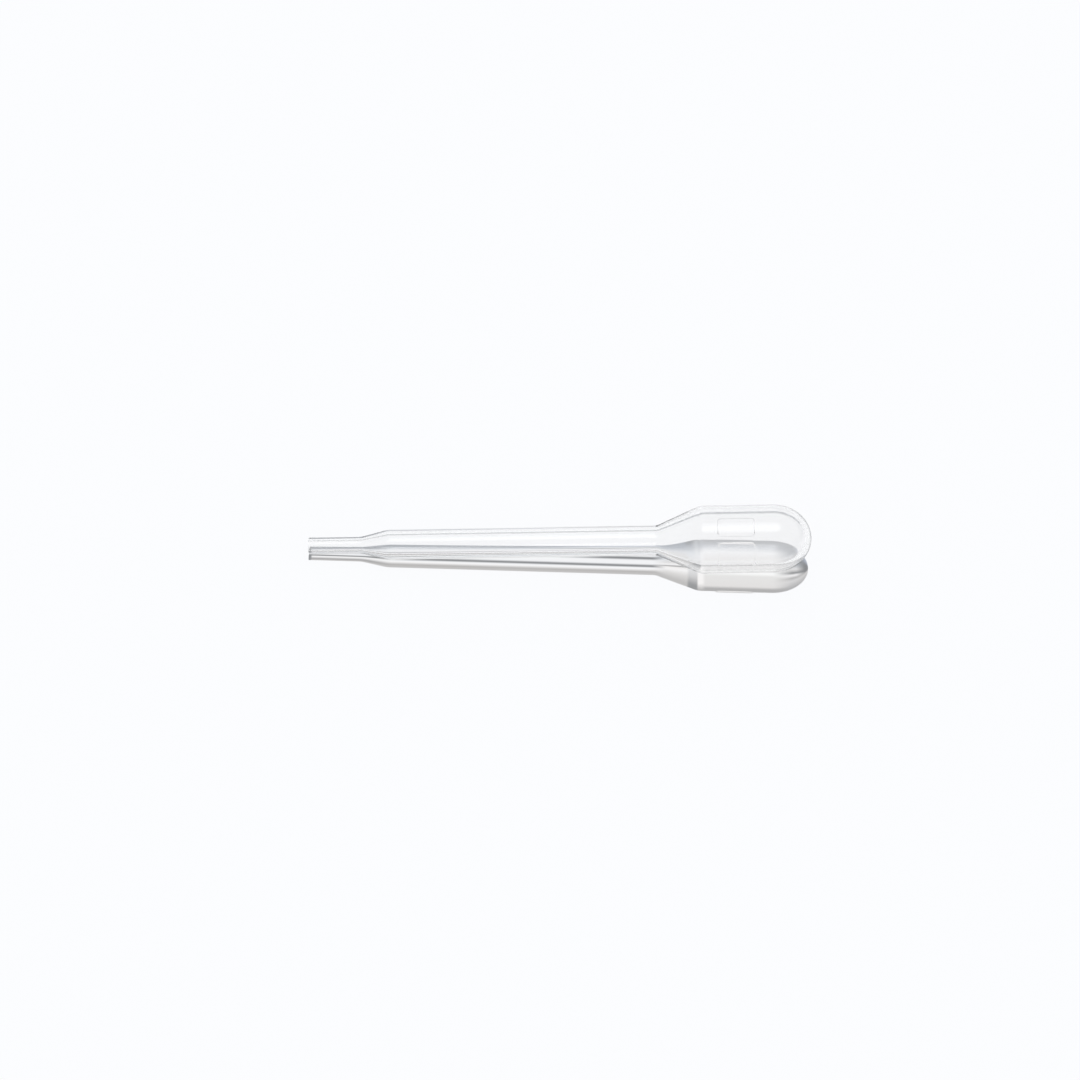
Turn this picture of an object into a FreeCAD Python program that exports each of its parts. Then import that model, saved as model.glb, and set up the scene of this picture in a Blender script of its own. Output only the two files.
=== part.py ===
import FreeCAD, Part
import math
import os

from FreeCAD import Vector

# Plastic dropper pipette: one hollow piece, blow-moulded in low-density polyethylene.
# It is drawn along X, with the middle of its open tip at the origin and its closed bulb
# at +X, and then laid down the way it comes to rest on a table. Millimetres, +Z up.

# Lengths along the axis, from the open tip to the closed pole of the bulb.
TIP_LENGTH = 6.9
SHOULDER_LENGTH = 3.4
STEM_LENGTH = 34.9
NECK_LENGTH = 5.5
BULB_LENGTH = 9.4
DOME_LENGTH = 4.9

# Outside diameters of the three straight stretches.
TIP_DIAMETER = 2.2
STEM_DIAMETER = 3.9
BULB_DIAMETER = 8.75

# The hole through the tip, and the wall from there to the pole. The plastic sags a little
# while it is blown, so the cavity lies higher than the outside and the wall is thickest
# underneath: the heavy side that the pipette comes to rest on.
TIP_BORE = 0.7
STEM_WALL = 0.77
BULB_WALL = 1.1
POLE_WALL = 0.9
CAVITY_RISE = 0.05

# Radii that round the turns of the outer surface and of the cavity.
SHOULDER_ROUND = 3.0
NECK_ROUND = 1.0
BULB_ROUND = 2.0
CAVITY_ROUND = 1.2

# Two bare raised pads, one from each half of the mould, on opposite sides of the bulb. The
# bevel of a pad's rim takes up this share of the height it stands proud by.
PAD_LENGTH = 4.8
PAD_WIDTH = 3.6
FRONT_PAD_RISE = 0.16
BACK_PAD_RISE = 0.08
PAD_BEVEL_SHARE = 0.75
PAD_CORNER_ROUND = 0.6
PAD_ELEVATION = 19

# How far the cavity's cutting tool starts outside the tip.
TOOL_OVERRUN = 1

QUARTER_TURN = 90
HALF_TURN = 180
FULL_TURN = 360
QUARTER_ELLIPSE_WEIGHT = math.sqrt(0.5)

ORIGIN = Vector(0, 0, 0)
AXIS = Vector(1, 0, 0)
SIDEWAYS = Vector(0, 1, 0)

# Where each stretch starts along the axis.
SHOULDER_START = TIP_LENGTH
STEM_START = SHOULDER_START + SHOULDER_LENGTH
NECK_START = STEM_START + STEM_LENGTH
BULB_START = NECK_START + NECK_LENGTH
DOME_START = BULB_START + BULB_LENGTH

# The outer surface: its start on the axis, its corners, and the rim of its dome.
OUTER_PATH = [
    ORIGIN,
    Vector(0, TIP_DIAMETER / 2, 0),
    Vector(SHOULDER_START, TIP_DIAMETER / 2, 0),
    Vector(STEM_START, STEM_DIAMETER / 2, 0),
    Vector(NECK_START, STEM_DIAMETER / 2, 0),
    Vector(BULB_START, BULB_DIAMETER / 2, 0),
    Vector(DOME_START, BULB_DIAMETER / 2, 0),
]
OUTER_ROUNDS = [0, SHOULDER_ROUND, SHOULDER_ROUND, NECK_ROUND, BULB_ROUND]


def cavity_path():
    """The cavity's surface, given in the same way.

    Where the wall turns into a cone, its inner corner lies further along than its outer
    one, by the wall times the tangent of half the turn, so the turn doesn't thin the wall.
    """
    shoulder_turn = math.atan2(STEM_DIAMETER - TIP_DIAMETER, 2 * SHOULDER_LENGTH)
    neck_turn = math.atan2(BULB_DIAMETER - STEM_DIAMETER, 2 * NECK_LENGTH)
    shoulder_shift = math.tan(shoulder_turn / 2)
    neck_shift = math.tan(neck_turn / 2)
    tip_wall = (TIP_DIAMETER - TIP_BORE) / 2
    stem_bore = STEM_DIAMETER - 2 * STEM_WALL
    bulb_bore = BULB_DIAMETER - 2 * BULB_WALL
    return [
        Vector(-TOOL_OVERRUN, 0, 0),
        Vector(-TOOL_OVERRUN, TIP_BORE / 2, 0),
        Vector(SHOULDER_START + tip_wall * shoulder_shift, TIP_BORE / 2, 0),
        Vector(STEM_START + STEM_WALL * shoulder_shift, stem_bore / 2, 0),
        Vector(NECK_START + STEM_WALL * neck_shift, stem_bore / 2, 0),
        Vector(BULB_START + BULB_WALL * neck_shift, bulb_bore / 2, 0),
        Vector(DOME_START, bulb_bore / 2, 0),
    ]


def corner_arc(before, corner, after, radius):
    """The arc that rounds a corner between two straight lines, and the arc's centre."""
    back = (before - corner).normalize()
    ahead = (after - corner).normalize()
    half_angle = back.getAngle(ahead) / 2
    inward = (back + ahead).normalize()
    centre = corner + inward * (radius / math.sin(half_angle))
    reach = radius / math.tan(half_angle)
    arc = Part.Arc(corner + back * reach, centre - inward * radius, corner + ahead * reach)
    return arc, centre


def turned(path, rounds, dome_length):
    """Solid turned about the axis from a path with rounded corners and an elliptic dome.

    A corner whose round is 0 stays sharp, as where the tip is cut off square.
    """
    edges = []
    drawn_to = path[0]
    for index, radius in enumerate(rounds, start=1):
        if radius:
            arc, _ = corner_arc(path[index - 1], path[index], path[index + 1], radius)
            edges.append(Part.LineSegment(drawn_to, arc.StartPoint).toShape())
            edges.append(arc.toShape())
            drawn_to = arc.EndPoint
        else:
            edges.append(Part.LineSegment(drawn_to, path[index]).toShape())
            drawn_to = path[index]
    rim = path[-1]
    pole = Vector(rim.x + dome_length, 0, 0)
    dome = Part.BezierCurve()
    dome.setPoles([rim, Vector(pole.x, rim.y, 0), pole])
    dome.setWeight(2, QUARTER_ELLIPSE_WEIGHT)
    edges.append(Part.LineSegment(drawn_to, rim).toShape())
    edges.append(dome.toShape())
    edges.append(Part.LineSegment(pole, path[0]).toShape())
    return Part.Face(Part.Wire(edges)).revolve(ORIGIN, AXIS, FULL_TURN)


def pad(elevation, rise):
    """Pad with rounded corners and a bevelled rim, on the middle of the bulb's side.

    It is cut off by a cylinder a little wider than the bulb, so it follows the bulb's
    round side and stands evenly proud of it.
    """
    foot = (BULB_DIAMETER - BULB_WALL) / 2
    top = BULB_DIAMETER / 2 + rise
    middle = (BULB_START + DOME_START) / 2
    corner = Vector(middle - PAD_LENGTH / 2, -PAD_WIDTH / 2, foot)
    block = Part.makeBox(PAD_LENGTH, PAD_WIDTH, BULB_WALL, corner)
    block = block.makeFillet(PAD_CORNER_ROUND, [e for e in block.Edges if e.tangentAt(0).z])
    block = block.common(Part.makeCylinder(top, DOME_START, ORIGIN, AXIS))
    rim = [e for e in block.Edges if e.BoundBox.ZMin > foot + BULB_WALL / 4]
    block = block.makeChamfer(rise * PAD_BEVEL_SHARE, rim)
    block.rotate(ORIGIN, AXIS, QUARTER_TURN - elevation)
    return block


def laid_down(body):
    """The body at rest on a table: its shoulder and the bulb's edge touch the table.

    A straight line that touches both rounded corners gives the tilt, and its distance
    from the middle of the tip gives the height.
    """
    heel_arc, heel = corner_arc(*OUTER_PATH[2:5], SHOULDER_ROUND)
    bulb_arc, ball = corner_arc(*OUTER_PATH[4:7], BULB_ROUND)
    span = ball - heel
    tilt = math.atan2(span.y, span.x) + math.asin((BULB_ROUND - SHOULDER_ROUND) / span.Length)
    height = heel.y * math.cos(tilt) - heel.x * math.sin(tilt) + SHOULDER_ROUND
    body.rotate(ORIGIN, SIDEWAYS, -math.degrees(tilt))
    body.translate(Vector(0, 0, height))
    box = body.optimalBoundingBox(False, False)
    body.translate(Vector(-box.Center.x, -box.Center.y, 0))
    return body


def pipette():
    """The whole moulding, hollow from its tip to its pole."""
    solid = turned(OUTER_PATH, OUTER_ROUNDS, DOME_LENGTH)
    front_pad = pad(PAD_ELEVATION, FRONT_PAD_RISE)
    back_pad = pad(PAD_ELEVATION + HALF_TURN, BACK_PAD_RISE)
    cavity_rounds = [0, CAVITY_ROUND, CAVITY_ROUND, CAVITY_ROUND, CAVITY_ROUND]
    cavity = turned(cavity_path(), cavity_rounds, DOME_LENGTH - POLE_WALL)
    cavity.translate(Vector(0, 0, CAVITY_RISE))
    return laid_down(solid.fuse([front_pad, back_pad]).cut(cavity).removeSplitter())


os.makedirs("parts", exist_ok=True)
body = pipette()
body.exportStep("parts/pipette.step")
print("volume", round(body.Volume, 2), "mm3")
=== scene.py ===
# %% [markdown]
# # A clear plastic dropper pipette on a pale table
#
# A transfer pipette is blown in one piece from natural low-density polyethylene: a fine
# tip, a straight stem and a bulb to squeeze, all one hollow skin. This lesson turns that
# skin on a lathe, adds the two low pads that the mould leaves on the bulb, lays it down
# the way it rests on a table, and gives it the look of clear, slightly milky plastic.
#
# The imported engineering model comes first. It sets the size and the place of all that
# follows, and it isn't moved or changed.

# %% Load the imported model
import math

import bpy
from mathutils import Matrix, Vector


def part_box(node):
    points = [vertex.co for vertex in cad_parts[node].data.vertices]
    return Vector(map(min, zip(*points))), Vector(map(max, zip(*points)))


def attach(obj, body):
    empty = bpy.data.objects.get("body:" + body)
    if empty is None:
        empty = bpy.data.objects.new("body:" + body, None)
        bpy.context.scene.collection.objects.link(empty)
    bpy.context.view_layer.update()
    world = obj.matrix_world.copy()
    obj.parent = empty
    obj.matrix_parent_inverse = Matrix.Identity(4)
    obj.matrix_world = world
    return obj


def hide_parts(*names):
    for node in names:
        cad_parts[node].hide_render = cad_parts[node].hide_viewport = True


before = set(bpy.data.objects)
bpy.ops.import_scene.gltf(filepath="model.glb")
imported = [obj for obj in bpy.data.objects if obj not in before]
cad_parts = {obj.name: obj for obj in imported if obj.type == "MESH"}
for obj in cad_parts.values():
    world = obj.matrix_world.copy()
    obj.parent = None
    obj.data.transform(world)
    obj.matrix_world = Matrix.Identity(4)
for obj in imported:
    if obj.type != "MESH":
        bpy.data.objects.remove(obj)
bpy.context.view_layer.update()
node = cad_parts["pipette"]
low, high = (Vector(corner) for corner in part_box("pipette"))
print("the packed pipette reaches from", tuple(low), "to", tuple(high))

# %% [markdown]
# ## The camera
#
# The pipette is seen from well above and a little from the bulb's side, with a long lens,
# so its lines stay nearly parallel. The camera is aimed at a point just left of the middle
# of the pipette, at the height of its axis.

# %% Place the camera
MM = 0.001

CAMERA_ELEVATION = math.radians(48.5)
CAMERA_TURN = math.radians(1.8)
CAMERA_DISTANCE = 0.3486
CAMERA_LENS = 90
CAMERA_CLIP_START = 0.01
AIM = Vector((-2.4, 0, 3.6)) * MM

away = Vector((
    math.sin(CAMERA_TURN) * math.cos(CAMERA_ELEVATION),
    -math.cos(CAMERA_TURN) * math.cos(CAMERA_ELEVATION),
    math.sin(CAMERA_ELEVATION),
))
bpy.ops.object.camera_add(location=AIM + away * CAMERA_DISTANCE)
camera = bpy.context.object
camera.name = "camera"
camera.rotation_euler = away.to_track_quat("Z", "Y").to_euler()
camera.data.lens = CAMERA_LENS
camera.data.clip_start = CAMERA_CLIP_START
bpy.context.scene.camera = camera
print("camera", round(CAMERA_DISTANCE / MM), "mm away")

# %% [markdown]
# ## Colours and nodes
#
# Colours are written as sRGB hex values, as a paint program shows them, and one function
# turns them into the linear values that the shaders count with. One more function adds a
# node, sets its values and links its inputs.

# %% Two helpers for materials
# A Mix node has a set of sockets for each kind of data; these are the ones for colours.
MIX_A = 6
MIX_B = 7
MIX_RESULT = 2


def colour(text):
    """Linear red, green, blue and alpha of an sRGB hex value such as F4F4F2."""
    def linear(value):
        return value / 12.92 if value <= 0.04045 else ((value + 0.055) / 1.055) ** 2.4
    parts = (int(text[i:i + 2], 16) / 255 for i in (0, 2, 4))
    return (*(linear(value) for value in parts), 1.0)


def add_node(tree, kind, settings=None, values=None, links=None):
    """A new node, with its settings, the values of its sockets and its incoming links."""
    made = tree.nodes.new(kind)
    for name, value in (settings or {}).items():
        setattr(made, name, value)
    for name, value in (values or {}).items():
        made.inputs[name].default_value = value
    for name, source in (links or {}).items():
        tree.links.new(source, made.inputs[name])
    return made


# %% [markdown]
# ## The table
#
# A plain matt white sheet, large enough to fill the view. It is only a stage for the
# pipette. Where it is seen through the wide end of the pipette it glows a little, for the
# light that the bulb gathers onto the paper under itself.

# %% Make the table
FLOOR_SIZE = 1.6
PAPER = "F6F6F7"
# Painted glow: where the paper is seen through the plastic under the bulb, part of its
# colour is emission that stands in for the lamp's light the bulb gathers there. These say
# where it starts, where it is full, and how much of the paper it takes.
GATHERED_FROM = 17.5 * MM
GATHERED_FULL = 18.1 * MM
GATHERED_SHARE = 0.3

bpy.ops.object.select_all(action="DESELECT")
bpy.ops.mesh.primitive_plane_add(size=FLOOR_SIZE, location=(0, 0, 0))
table = bpy.context.object
table.name = "table"

paper = bpy.data.materials.new("matt white paper")
paper.use_nodes = True
tree = paper.node_tree
tree.nodes.clear()
sheet = add_node(tree, "ShaderNodeBsdfDiffuse", values={"Color": colour(PAPER)})
# The painted glow, an emission in the paper's own colour.
painted_glow = add_node(tree, "ShaderNodeEmission", values={"Color": colour(PAPER)})
place = add_node(tree, "ShaderNodeTexCoord")
along = add_node(tree, "ShaderNodeSeparateXYZ", links={"Vector": place.outputs["Object"]})
under_bulb = add_node(tree, "ShaderNodeMapRange", values={
    "From Min": GATHERED_FROM, "From Max": GATHERED_FULL, "To Max": GATHERED_SHARE,
}, links={"Value": along.outputs["X"]})
ray = add_node(tree, "ShaderNodeLightPath")
gathered = add_node(tree, "ShaderNodeMath", {"operation": "MULTIPLY"}, links={
    0: under_bulb.outputs["Result"], 1: ray.outputs["Is Transmission Ray"],
})
lit = add_node(tree, "ShaderNodeMixShader", links={
    0: gathered.outputs["Value"], 1: sheet.outputs["BSDF"], 2: painted_glow.outputs["Emission"],
})
add_node(tree, "ShaderNodeOutputMaterial", links={"Surface": lit.outputs["Shader"]})
table.data.materials.append(paper)
print("table", FLOOR_SIZE, "m wide")

# %% [markdown]
# ## The light
#
# One small lamp nearly overhead, a little behind, draws the crisp shadow, and a soft even
# light from the room fills it. What the plastic mirrors and bends into view is the room
# itself: bright above and darker towards the horizon, as a studio is. Clear plastic shows
# its edges only because they bend the eye's way towards something darker, so that darker
# band round the horizon is what draws the pipette's outlines.
#
# The lamp and the room are each looked for in one way only, so no light counts twice where
# it passes through the plastic.

# %% Light the table
KEY_ELEVATION = math.radians(83)
KEY_TURN = math.radians(8)
KEY_STRENGTH = 2.4
KEY_ANGLE = math.radians(1.1)
FILL = "949698"
BACK_HORIZON = "ACB0B4"
FRONT_HORIZON = "F4F4F4"
BACK_STARTS = -0.5
BACK_FULL = 0.3
CEILING = "F6F6F6"
CEILING_STARTS = 0.4
SOFTBOX_STRENGTH = 2.8
SOFTBOX_EDGE = math.cos(math.radians(20))
SOFTBOX_FULL = math.cos(math.radians(10))

towards_key = Vector((
    math.sin(KEY_TURN) * math.cos(KEY_ELEVATION),
    math.cos(KEY_TURN) * math.cos(KEY_ELEVATION),
    math.sin(KEY_ELEVATION),
))
bpy.ops.object.light_add(type="SUN", location=towards_key)
key = bpy.context.object
key.name = "key lamp"
key.rotation_euler = towards_key.to_track_quat("Z", "Y").to_euler()
key.data.energy = KEY_STRENGTH
key.data.angle = KEY_ANGLE
key.data.cycles.use_multiple_importance_sampling = False
key.visible_glossy = False
key.visible_transmission = False

room = bpy.data.worlds.new("studio room")
bpy.context.scene.world = room
room.use_nodes = True
tree = room.node_tree
tree.nodes.clear()
direction = add_node(tree, "ShaderNodeTexCoord")
parts = add_node(tree, "ShaderNodeSeparateXYZ", links={
    "Vector": direction.outputs["Generated"],
})
behind = add_node(tree, "ShaderNodeMapRange", values={
    "From Min": BACK_STARTS, "From Max": BACK_FULL,
}, links={"Value": parts.outputs["Y"]})
horizon = add_node(tree, "ShaderNodeMix", {"data_type": "RGBA"}, values={
    MIX_A: colour(FRONT_HORIZON), MIX_B: colour(BACK_HORIZON),
}, links={"Factor": behind.outputs["Result"]})
climb = add_node(tree, "ShaderNodeMapRange", values={
    "From Min": 0.0, "From Max": CEILING_STARTS,
}, links={"Value": parts.outputs["Z"]})
walls = add_node(tree, "ShaderNodeMix", {"data_type": "RGBA"}, values={
    MIX_B: colour(CEILING),
}, links={"Factor": climb.outputs["Result"], MIX_A: horizon.outputs[MIX_RESULT]})
ceiling = add_node(tree, "ShaderNodeBackground", links={
    "Color": walls.outputs[MIX_RESULT],
})
softbox = add_node(tree, "ShaderNodeBackground", values={"Strength": SOFTBOX_STRENGTH})
overhead = add_node(tree, "ShaderNodeMapRange", {
    "interpolation_type": "SMOOTHSTEP",
}, values={
    "From Min": SOFTBOX_EDGE, "From Max": SOFTBOX_FULL,
}, links={"Value": parts.outputs["Z"]})
seen = add_node(tree, "ShaderNodeMixShader", links={
    0: overhead.outputs["Result"],
    1: ceiling.outputs["Background"],
    2: softbox.outputs["Background"],
})
fill = add_node(tree, "ShaderNodeBackground", values={"Color": colour(FILL)})
ray = add_node(tree, "ShaderNodeLightPath")
mirrored = add_node(tree, "ShaderNodeMath", {"operation": "MAXIMUM"}, links={
    0: ray.outputs["Is Glossy Ray"], 1: ray.outputs["Is Transmission Ray"],
})
sky = add_node(tree, "ShaderNodeMixShader", links={
    0: mirrored.outputs["Value"], 1: fill.outputs["Background"], 2: seen.outputs["Shader"],
})
add_node(tree, "ShaderNodeOutputWorld", links={"Surface": sky.outputs["Shader"]})
room.cycles.sampling_method = "NONE"
bpy.context.scene.view_settings.view_transform = "Standard"
print("key lamp at", round(math.degrees(KEY_ELEVATION)), "degrees")

# %% [markdown]
# ## The skin, turned on a lathe
#
# The whole skin is one closed line turned about its axis: out from the pole of the bulb
# along the outside to the tip, through the cut, and back along the inside. Drawing that
# line point by point, rounding its corners and spinning it gives walls of the true
# thickness, which matters more than anything else here, because light is bent by both
# faces of the wall.
#
# The line is drawn in millimetres along X, with the middle of the tip at the origin, and
# is only scaled to metres when it is finished.

# %% The sizes of the skin, in millimetres
TIP_LENGTH = 6.9
SHOULDER_LENGTH = 3.4
STEM_LENGTH = 34.9
NECK_LENGTH = 5.5
BULB_LENGTH = 9.4
DOME_LENGTH = 4.9

TIP_RADIUS = 1.1
STEM_RADIUS = 1.95
BULB_RADIUS = 4.375
TIP_BORE_RADIUS = 0.6
STEM_WALL = 0.77
BULB_WALL = 1.1
POLE_WALL = 0.9

SHOULDER_ROUND = 3.0
NECK_ROUND = 1.0
BULB_ROUND = 2.0
CAVITY_ROUND = 1.2

shoulder_start = TIP_LENGTH
stem_start = shoulder_start + SHOULDER_LENGTH
neck_start = stem_start + STEM_LENGTH
bulb_start = neck_start + NECK_LENGTH
dome_start = bulb_start + BULB_LENGTH
total_length = dome_start + DOME_LENGTH

shoulder_shift = math.tan(math.atan2(STEM_RADIUS - TIP_RADIUS, SHOULDER_LENGTH) / 2)
neck_shift = math.tan(math.atan2(BULB_RADIUS - STEM_RADIUS, NECK_LENGTH) / 2)
stem_bore = STEM_RADIUS - STEM_WALL
bulb_bore = BULB_RADIUS - BULB_WALL
tip_wall = TIP_RADIUS - TIP_BORE_RADIUS
print("length", total_length, "mm")

# %% [markdown]
# A line's corners are listed with the radius that rounds each of them. The dome is a
# quarter of an ellipse, drawn with points of its own.

# %% Draw the line that is turned
DOME_POINTS = 36


def dome(start, radius, length):
    """Points of a quarter ellipse from the pole to the start of the dome."""
    angles = (math.pi / 2 * i / DOME_POINTS for i in range(DOME_POINTS))
    return [(start + length * math.cos(a), radius * math.sin(a), 0) for a in angles]


outside = dome(dome_start, BULB_RADIUS, DOME_LENGTH) + [
    (dome_start, BULB_RADIUS, 0),
    (bulb_start, BULB_RADIUS, BULB_ROUND),
    (neck_start, STEM_RADIUS, NECK_ROUND),
    (stem_start, STEM_RADIUS, SHOULDER_ROUND),
    (shoulder_start, TIP_RADIUS, SHOULDER_ROUND),
    (0, TIP_RADIUS, 0),
]
inside = dome(dome_start, bulb_bore, DOME_LENGTH - POLE_WALL) + [
    (dome_start, bulb_bore, 0),
    (bulb_start + BULB_WALL * neck_shift, bulb_bore, CAVITY_ROUND),
    (neck_start + STEM_WALL * neck_shift, stem_bore, CAVITY_ROUND),
    (stem_start + STEM_WALL * shoulder_shift, stem_bore, CAVITY_ROUND),
    (shoulder_start + tip_wall * shoulder_shift, TIP_BORE_RADIUS, CAVITY_ROUND),
    (0, TIP_BORE_RADIUS, 0),
]
line = outside + inside[::-1]

bpy.ops.object.select_all(action="DESELECT")
bpy.ops.mesh.primitive_plane_add(size=1)
skin = bpy.context.object
skin.name = "pipette_skin"
bpy.ops.object.mode_set(mode="EDIT")
bpy.ops.mesh.select_mode(type="VERT")
bpy.ops.mesh.select_all(action="SELECT")
bpy.ops.mesh.merge(type="CENTER")
bpy.ops.transform.translate(value=(line[0][0], line[0][1], 0))
for before, after in zip(line, line[1:]):
    step = (after[0] - before[0], after[1] - before[1], 0)
    bpy.ops.mesh.extrude_region_move(TRANSFORM_OT_translate={"value": step})
bpy.ops.object.mode_set(mode="OBJECT")
print("the line has", len(skin.data.vertices), "points")

# %% Round the corners of the line
CORNER_SEGMENTS = 10
SAME_POINT = 1e-4


def corner_of(path, index):
    """A corner of a line, and the directions back and ahead from it."""
    before, corner, after = (Vector(path[i][:2]) for i in (index - 1, index, index + 1))
    return corner, (before - corner).normalized(), (after - corner).normalized()


def pick(object_, chosen):
    """Select exactly the vertices that the test chooses, and go into edit mode."""
    bpy.ops.object.mode_set(mode="EDIT")
    bpy.ops.mesh.select_mode(type="VERT")
    bpy.ops.mesh.select_all(action="DESELECT")
    bpy.ops.object.mode_set(mode="OBJECT")
    for vertex in object_.data.vertices:
        vertex.select = chosen(vertex.co)
    bpy.ops.object.mode_set(mode="EDIT")


for index, (_, _, radius) in enumerate(line):
    if not radius:
        continue
    corner, back, ahead = corner_of(line, index)
    reach = radius / math.tan(back.angle(ahead) / 2)
    pick(skin, lambda co: (co.xy - corner).length < SAME_POINT)
    bpy.ops.mesh.bevel(offset=reach, segments=CORNER_SEGMENTS, affect="VERTICES")
    bpy.ops.object.mode_set(mode="OBJECT")
print("rounded, it has", len(skin.data.vertices), "points")

# %% Turn it
TURN_STEPS = 320

bpy.ops.object.mode_set(mode="EDIT")
bpy.ops.mesh.select_all(action="SELECT")
bpy.ops.mesh.spin(steps=TURN_STEPS, angle=2 * math.pi, center=(0, 0, 0), axis=(1, 0, 0))
bpy.ops.mesh.select_all(action="SELECT")
bpy.ops.mesh.remove_doubles(threshold=SAME_POINT)
bpy.ops.mesh.normals_make_consistent(inside=False)
bpy.ops.object.mode_set(mode="OBJECT")
print("the skin has", len(skin.data.polygons), "faces")

# %% [markdown]
# ## The two pads
#
# Each half of the mould leaves a bare pad on the bulb's side. A pad is a block with rounded
# corners, cut off by a cylinder a hair wider than the bulb, so it follows the bulb's round
# side and stands evenly proud of it. Its rim is bevelled, and a boolean joins it to the
# skin.

# %% Join the pads to the bulb
PAD_LENGTH = 4.8
PAD_WIDTH = 3.6
FRONT_PAD_RISE = 0.16
BACK_PAD_RISE = 0.08
PAD_BEVEL_SHARE = 0.75
PAD_CORNER_ROUND = 0.6
PAD_CORNER_SEGMENTS = 6
PAD_ELEVATION = math.radians(19)
PAD_SIDES = 120
UPRIGHT_DROP = 1e-3

pad_middle = (bulb_start + dome_start) / 2


def combine(body, tool, operation):
    """Apply a boolean to the body, with a tool that isn't kept."""
    bpy.ops.object.select_all(action="DESELECT")
    body.select_set(True)
    bpy.context.view_layer.objects.active = body
    step = body.modifiers.new(operation, "BOOLEAN")
    step.operation = operation
    step.solver = "EXACT"
    step.object = tool
    bpy.ops.object.modifier_apply(modifier=step.name)
    bpy.data.objects.remove(tool)


def pad(name, rise, turn):
    """A curved block with rounded corners, turned about the bulb's axis."""
    top = BULB_RADIUS + rise
    bpy.ops.object.select_all(action="DESELECT")
    bpy.ops.mesh.primitive_cube_add(size=1, location=(pad_middle, 0, BULB_RADIUS),
                                    scale=(PAD_LENGTH, PAD_WIDTH, BULB_WALL))
    block = bpy.context.object
    block.name = name
    bpy.ops.object.transform_apply(location=True, scale=True)
    bpy.ops.object.mode_set(mode="EDIT")
    bpy.ops.mesh.select_all(action="DESELECT")
    bpy.ops.mesh.select_mode(type="EDGE")
    bpy.ops.object.mode_set(mode="OBJECT")
    points = block.data.vertices
    for edge in block.data.edges:
        first, last = (points[i].co for i in edge.vertices)
        edge.select = abs(first.z - last.z) > UPRIGHT_DROP
    bpy.ops.object.mode_set(mode="EDIT")
    bpy.ops.mesh.bevel(offset=PAD_CORNER_ROUND, segments=PAD_CORNER_SEGMENTS,
                       affect="EDGES")
    bpy.ops.object.mode_set(mode="OBJECT")
    bpy.ops.mesh.primitive_cylinder_add(
        vertices=PAD_SIDES, radius=top, depth=2 * PAD_LENGTH,
        location=(pad_middle, 0, 0), rotation=(0, math.pi / 2, 0))
    combine(block, bpy.context.object, "INTERSECT")
    pick(block, lambda co: co.yz.length > top - rise / 2)
    bpy.ops.mesh.select_mode(type="FACE")
    bpy.ops.mesh.region_to_loop()
    bpy.ops.mesh.bevel(offset=rise * PAD_BEVEL_SHARE, segments=1, affect="EDGES")
    bpy.ops.object.mode_set(mode="OBJECT")
    block.data.transform(Matrix.Rotation(turn, 4, "X"))
    return block


combine(skin, pad("front_pad", FRONT_PAD_RISE, math.pi / 2 - PAD_ELEVATION), "UNION")
combine(skin, pad("back_pad", BACK_PAD_RISE, -math.pi / 2 - PAD_ELEVATION), "UNION")
print("with its pads the skin has", len(skin.data.polygons), "faces")

# %% [markdown]
# ## Laid down
#
# On a table the pipette touches at its shoulder and at the edge of its bulb, so its axis
# rises a little towards the bulb. The turn and the height come from the straight line that
# touches both rounded corners.

# %% Lay it down
SMOOTH_BELOW = math.radians(25)
BULB_CORNER = DOME_POINTS + 1
SHOULDER_CORNER = DOME_POINTS + 3


def round_centre(path, index):
    """The centre of the arc that rounds a corner of the line."""
    corner, back, ahead = corner_of(path, index)
    inward = (back + ahead).normalized()
    return corner + inward * (path[index][2] / math.sin(back.angle(ahead) / 2))


heel = round_centre(outside, SHOULDER_CORNER)
ball = round_centre(outside, BULB_CORNER)
span = ball - heel
tilt = math.atan2(span.y, span.x) + math.asin((BULB_ROUND - SHOULDER_ROUND) / span.length)
height = heel.y * math.cos(tilt) - heel.x * math.sin(tilt) + SHOULDER_ROUND
raised = Matrix.Translation((0, 0, height))
skin.data.transform(Matrix.Scale(MM, 4) @ raised @ Matrix.Rotation(-tilt, 4, "Y"))
tip_end = min(v.co.x for v in skin.data.vertices)
front_end = min(v.co.y for v in skin.data.vertices)
skin.data.transform(Matrix.Translation((low.x - tip_end, low.y - front_end, 0)))
bpy.ops.object.shade_smooth_by_angle(angle=SMOOTH_BELOW)
print("tilt", round(math.degrees(tilt), 3), "degrees")

# %% [markdown]
# ## Clear, slightly milky plastic
#
# Natural low-density polyethylene is clear when it is thin, with a faint milky haze from
# the small crystals in it, and its blown surface is glossy but not as sharp as glass.
# It bends light like glass does, so a Principled shader with full transmission and its
# index of 1.51 does the work. A little white scattering is mixed in for the haze.
#
# The same bending gathers the lamp's light under the pipette into bright and dark lines.
# Those lines are painted shade and light: the lamp's light passes the skin as through a
# tinted pane, and each stretch has its own series of painted shadow tints, warm in front,
# where the lamp's light is gathered, and cool behind, where only the room's is.

# %% Finish the skin
PLASTIC_IOR = 1.51
PLASTIC_ROUGHNESS = 0.03
PLASTIC_TINT = "FEFEFE"
MILK_TINT = "F2F4F8"
HAZE = 0.025
NO_TINT = "FFFFFF"
FILL_TINT = "F4F4F4"
# Painted shadow under the cut end of the tip.
CUT_END_SHADOW = "303030"
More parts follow.
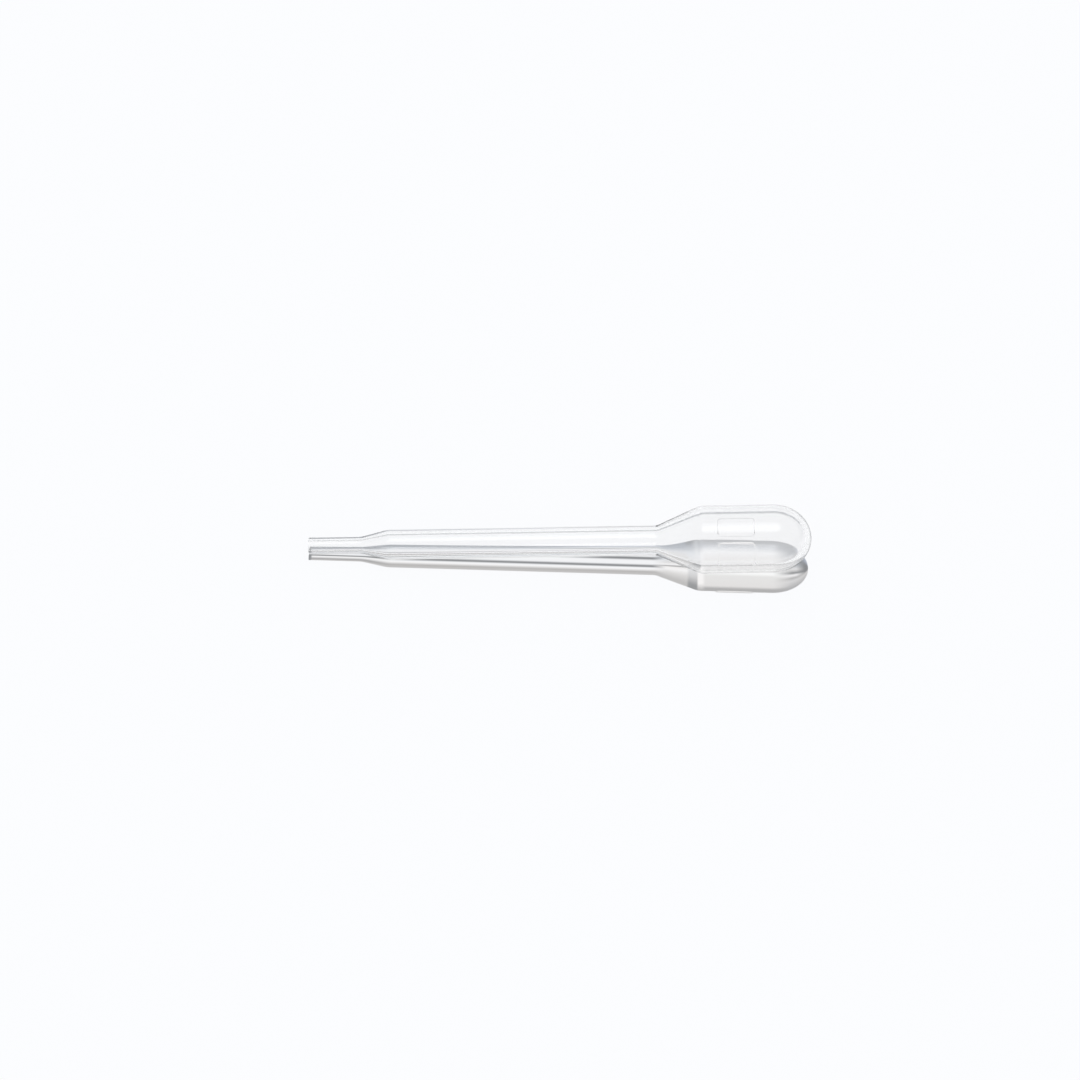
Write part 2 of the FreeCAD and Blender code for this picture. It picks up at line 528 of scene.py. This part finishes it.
# Painted shadow: each series tints the lamp's light where it passes a stretch of the skin,
# and so paints the dark and bright lines of the shadow on the table.
TIP_SHADOW_TINTS = [
    (-1.0, "B4B0AC"), (-0.8, "706C68"), (-0.55, "F4F2F0"), (-0.45, "F4F2F0"),
    (-0.36, "080808"), (-0.3, "080808"), (-0.15, "F8F8F8"), (0.1, "D0D4D8"),
    (0.4, "3C4450"), (1.0, "4C5460"),
]
STEM_SHADOW_TINTS = [
    (-1.0, "B0ACA8"), (-0.8, "98928C"), (-0.6, "F8F6F4"), (-0.5, "F8F8F8"),
    (-0.37, "080808"), (-0.31, "080808"), (-0.16, "F4F4F4"), (0.15, "F8F8F8"),
    (0.55, "A0A8B0"), (0.75, "404854"), (1.0, "707A88"),
]
STEM_END_SHADOW_TINTS = [
    (-1.0, "B0ACA8"), (-0.8, "98928C"), (-0.6, "F8F6F4"), (-0.5, "F8F8F8"),
    (-0.38, "000000"), (-0.31, "000000"), (-0.16, "F4F4F4"), (0.14, "F4F4F4"),
    (0.3, "000000"), (0.4, "000000"), (0.54, "F8F8F8"), (0.75, "A4ACB8"),
    (1.0, "98A2B0"),
]
NECK_SHADOW_TINTS = [
    (-1.0, "A8A49F"), (-0.9, "A8A49F"), (-0.6, "D4D0CC"), (-0.4, "F8F6F4"),
    (-0.28, "F0ECE8"), (-0.22, "605C58"), (-0.15, "F8F6F4"), (0.0, "D8D6D4"),
    (0.2, "DCDEE0"), (0.6, "8C94A0"), (0.9, "707884"), (1.0, "808894"),
]
CORNER_SHADOW_TINTS = [
    (-1.0, "545250"), (-0.9, "545250"), (-0.6, "C0BEBC"), (-0.2, "ECECEC"),
    (0.2, "DCE0E4"), (0.6, "8C929C"), (0.9, "202830"), (1.0, "101820"),
]
FLASH_SHADOW_TINTS = [
    (-1.0, "94908C"), (-0.8, "F8F4F0"), (0.2, "FFFFFF"), (0.6, "8C949F"),
    (1.0, "202C3C"),
]
BULB_SHADOW_TINTS = [
    (-1.0, "8C8884"), (-0.94, "8C8884"), (-0.86, "DCD8D4"), (-0.5, "E2E0DC"),
    (-0.4, "FFFFFC"), (-0.1, "ECE8E4"), (0.25, "FFFFFF"), (0.55, "989EA8"),
    (0.9, "1C2634"), (1.0, "040A14"),
]
DOME_SHADOW_TINTS = [
    (-1.0, "8C8A88"), (-0.72, "C8C6C4"), (-0.6, "989490"), (-0.48, "F4F2F0"),
    (-0.38, "141210"), (-0.3, "A8A6A4"), (-0.2, "D8D6D4"), (0.0, "A0A4A8"),
    (0.35, "3C4652"), (1.0, "242C38"),
]
POLE_SHADOW_TINTS = [
    (-1.0, "989694"), (-0.65, "C0BCB8"), (-0.46, "100A04"), (0.2, "100A04"),
    (0.6, "808898"), (1.0, "98A0AC"),
]

plastic = bpy.data.materials.new("blow-moulded clear LDPE")
plastic.use_nodes = True
tree = plastic.node_tree
tree.nodes.clear()
clear = add_node(tree, "ShaderNodeBsdfPrincipled", values={
    "Base Color": colour(PLASTIC_TINT),
    "Transmission Weight": 1.0,
    "Roughness": PLASTIC_ROUGHNESS,
    "IOR": PLASTIC_IOR,
})
milk = add_node(tree, "ShaderNodeBsdfTranslucent", values={"Color": colour(MILK_TINT)})
mixed = add_node(tree, "ShaderNodeMixShader", values={0: HAZE},
                 links={1: clear.outputs["BSDF"], 2: milk.outputs["BSDF"]})


def series(tints, fac):
    """A colour ramp of painted shadow tints, from -1 at the front rim to 1 at the back."""
    made = add_node(tree, "ShaderNodeValToRGB", links={"Fac": fac})
    stops = made.color_ramp.elements
    while len(stops) < len(tints):
        stops.new(1.0)
    for stop, (position, _) in zip(stops, tints):
        stop.position = (1 + position) / 2
    for stop, (_, shadow_tint) in zip(stops, tints):
        stop.color = colour(shadow_tint)
    return made.outputs["Color"]


def arithmetic(operation, first, second=0.0):
    """The output of one sum; each input is a number or another node's output."""
    sources = {i: v for i, v in enumerate((first, second)) if not isinstance(v, float)}
    numbers = {i: v for i, v in enumerate((first, second)) if isinstance(v, float)}
    made = add_node(tree, "ShaderNodeMath", {"operation": operation}, numbers, sources)
    return made.outputs["Value"]


def blend(factor, first, second):
    """The output of a mix of two colours; each is a constant or another node's output."""
    made = add_node(tree, "ShaderNodeMix", {"data_type": "RGBA"}, links={"Factor": factor})
    for socket, source in ((made.inputs[MIX_A], first), (made.inputs[MIX_B], second)):
        if isinstance(source, tuple):
            socket.default_value = source
        else:
            tree.links.new(source, socket)
    return made.outputs[MIX_RESULT]


ray = add_node(tree, "ShaderNodeLightPath")
shape = add_node(tree, "ShaderNodeNewGeometry")
facing = add_node(tree, "ShaderNodeSeparateXYZ", links={"Vector": shape.outputs["Normal"]})
side, up = facing.outputs["Y"], facing.outputs["Z"]
squares = arithmetic("MULTIPLY", side, side), arithmetic("MULTIPLY", up, up)
slope = arithmetic("SQRT", arithmetic("ADD", *squares))
towards_back = arithmetic("DIVIDE", side, slope)
across = arithmetic("MULTIPLY", arithmetic("ADD", towards_back, 1.0), 0.5)
place = add_node(tree, "ShaderNodeTexCoord")
along = add_node(tree, "ShaderNodeSeparateXYZ", links={"Vector": place.outputs["Object"]})

# Where along the pipette each series of painted shadow tints starts to come in, and where
# it has, in millimetres from the middle of the tip. Before the first, the painted shadow is
# the dark one under the cut end.
tip_x = low.x / MM + TIP_RADIUS * math.sin(tilt)
SHADOW_ZONES = [
    (0.15, 0.4, TIP_SHADOW_TINTS),
    (shoulder_start + 1.0, stem_start + 0.5, STEM_SHADOW_TINTS),
    (stem_start + 18.0, stem_start + 28.0, STEM_END_SHADOW_TINTS),
    (neck_start - 0.5, neck_start + 1.2, NECK_SHADOW_TINTS),
    (bulb_start - 1.6, bulb_start - 1.3, CORNER_SHADOW_TINTS),
    (bulb_start - 0.3, bulb_start - 0.1, FLASH_SHADOW_TINTS),
    (bulb_start + 0.4, bulb_start + 0.8, BULB_SHADOW_TINTS),
    (dome_start + 0.2, dome_start + 2.6, DOME_SHADOW_TINTS),
    (dome_start + 3.2, dome_start + 4.3, POLE_SHADOW_TINTS),
]
shadow_tint = colour(CUT_END_SHADOW)
for start, full, tints in SHADOW_ZONES:
    reached = add_node(tree, "ShaderNodeMapRange", values={
        "From Min": (tip_x + start) * MM, "From Max": (tip_x + full) * MM,
    }, links={"Value": along.outputs["X"]})
    shadow_tint = blend(reached.outputs["Result"], shadow_tint, series(tints, across))
shadow_tint = blend(ray.outputs["Is Shadow Ray"], colour(FILL_TINT), shadow_tint)
# Only the first crossing of the skin tints the light; every later one lets it by.
later = arithmetic("GREATER_THAN", ray.outputs["Transparent Depth"], 0.5)
shadow_tint = blend(later, shadow_tint, colour(NO_TINT))
# The lamp's light passes the skin as through a tinted pane, which paints the shadow's dark
# and bright lines on the table.
pane = add_node(tree, "ShaderNodeBsdfTransparent", links={"Color": shadow_tint})
passing = arithmetic("MAXIMUM", ray.outputs["Is Shadow Ray"], ray.outputs["Is Diffuse Ray"])
finish = add_node(tree, "ShaderNodeMixShader", links={
    0: passing, 1: mixed.outputs["Shader"], 2: pane.outputs["BSDF"],
})
add_node(tree, "ShaderNodeOutputMaterial", links={"Surface": finish.outputs["Shader"]})
skin.data.materials.clear()
skin.data.materials.append(plastic)
node.data.materials.clear()
node.data.materials.append(plastic)
print("finish", plastic.name)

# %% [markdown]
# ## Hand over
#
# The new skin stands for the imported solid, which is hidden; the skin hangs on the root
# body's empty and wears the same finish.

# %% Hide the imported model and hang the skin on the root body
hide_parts("pipette")
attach(skin, "root")
